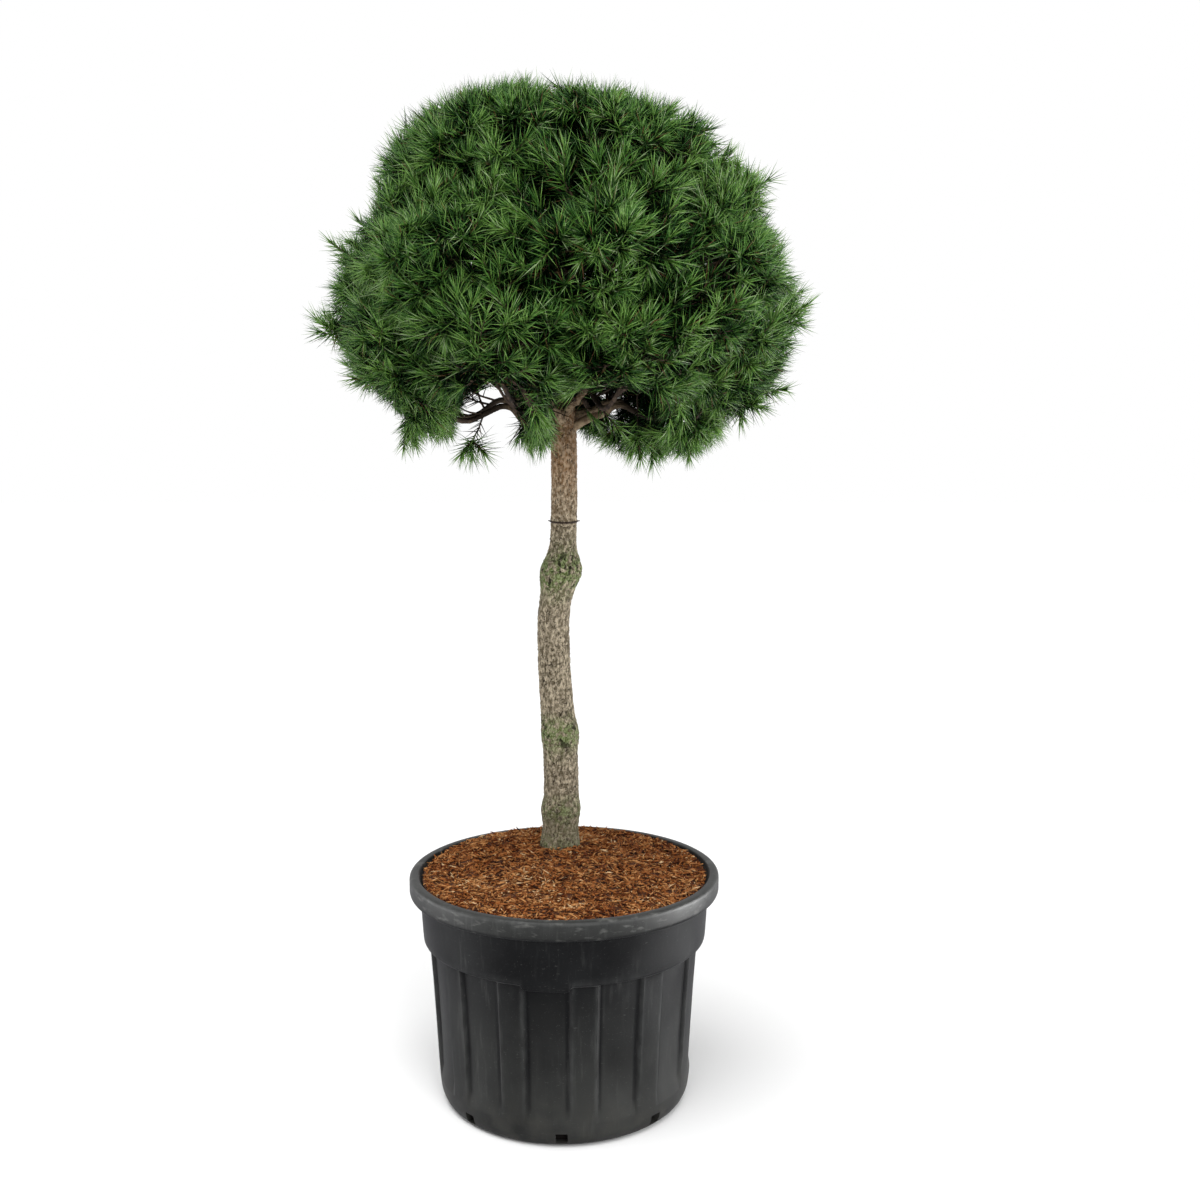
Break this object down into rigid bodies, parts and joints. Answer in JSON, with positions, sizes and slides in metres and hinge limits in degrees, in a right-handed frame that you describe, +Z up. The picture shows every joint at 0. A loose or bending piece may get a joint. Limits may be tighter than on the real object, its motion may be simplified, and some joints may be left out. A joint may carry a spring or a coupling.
{
  "type": "potted standard pine",
  "caption": "Standard scots pine: a bare knuckled stem under a round-topped crown of long needles, in a fluted black nursery pot filled with bark mulch.",
  "frame": {"origin": "centre of the pot's flat underside, where it stands on the ground", "axes": "+Z up along the stem, -Y towards the side shown in the picture, +X to its right"},
  "size_m": [1.2081, 1.1543, 2.4733],
  "materials": {
    "pot": "satin black moulded plastic, scuffed",
    "mulch": "loose shredded bark",
    "bark": "rough fissured bark",
    "bough_bark": "thin rough bark",
    "tie": "dull black",
    "needles_top": "waxy needles, fresh green",
    "needles_mid": "waxy needles, mid green",
    "needles_low": "waxy needles, dark green"
  },
  "bodies": {
    "root": {"bark_mulch": "mulch", "bough_lower_1": "bough_bark", "bough_lower_2": "bough_bark", "bough_lower_3": "bough_bark", "bough_lower_4": "bough_bark", "bough_lower_5": "bough_bark", "bough_lower_6": "bough_bark", "bough_lower_7": "bough_bark", "bough_lower_8": "bough_bark", "bough_middle_1": "bough_bark", "bough_middle_2": "bough_bark", "bough_middle_3": "bough_bark", "bough_middle_4": "bough_bark", "bough_middle_5": "bough_bark", "bough_middle_6": "bough_bark", "bough_middle_7": "bough_bark", "bough_upper_1": "bough_bark", "bough_upper_2": "bough_bark", "bough_upper_3": "bough_bark", "bough_upper_4": "bough_bark", "bough_upper_5": "bough_bark", "foliage_lower_1": "needles_low", "foliage_lower_2": "needles_low", "foliage_lower_3": "needles_low", "foliage_lower_4": "needles_low", "foliage_lower_5": "needles_low", "foliage_lower_6": "needles_low", "foliage_lower_7": "needles_low", "foliage_lower_8": "needles_low", "foliage_middle_1": "needles_mid", "foliage_middle_2": "needles_mid", "foliage_middle_3": "needles_mid", "foliage_middle_4": "needles_mid", "foliage_middle_5": "needles_mid", "foliage_middle_6": "needles_mid", "foliage_middle_7": "needles_mid", "foliage_sprig": "needles_low", "foliage_top": "needles_top", "foliage_upper_1": "needles_top", "foliage_upper_2": "needles_top", "foliage_upper_3": "needles_top", "foliage_upper_4": "needles_top", "foliage_upper_5": "needles_top", "pot": "pot", "trunk": "bark", "trunk_tie": "tie"}
  },
  "joints": []
}
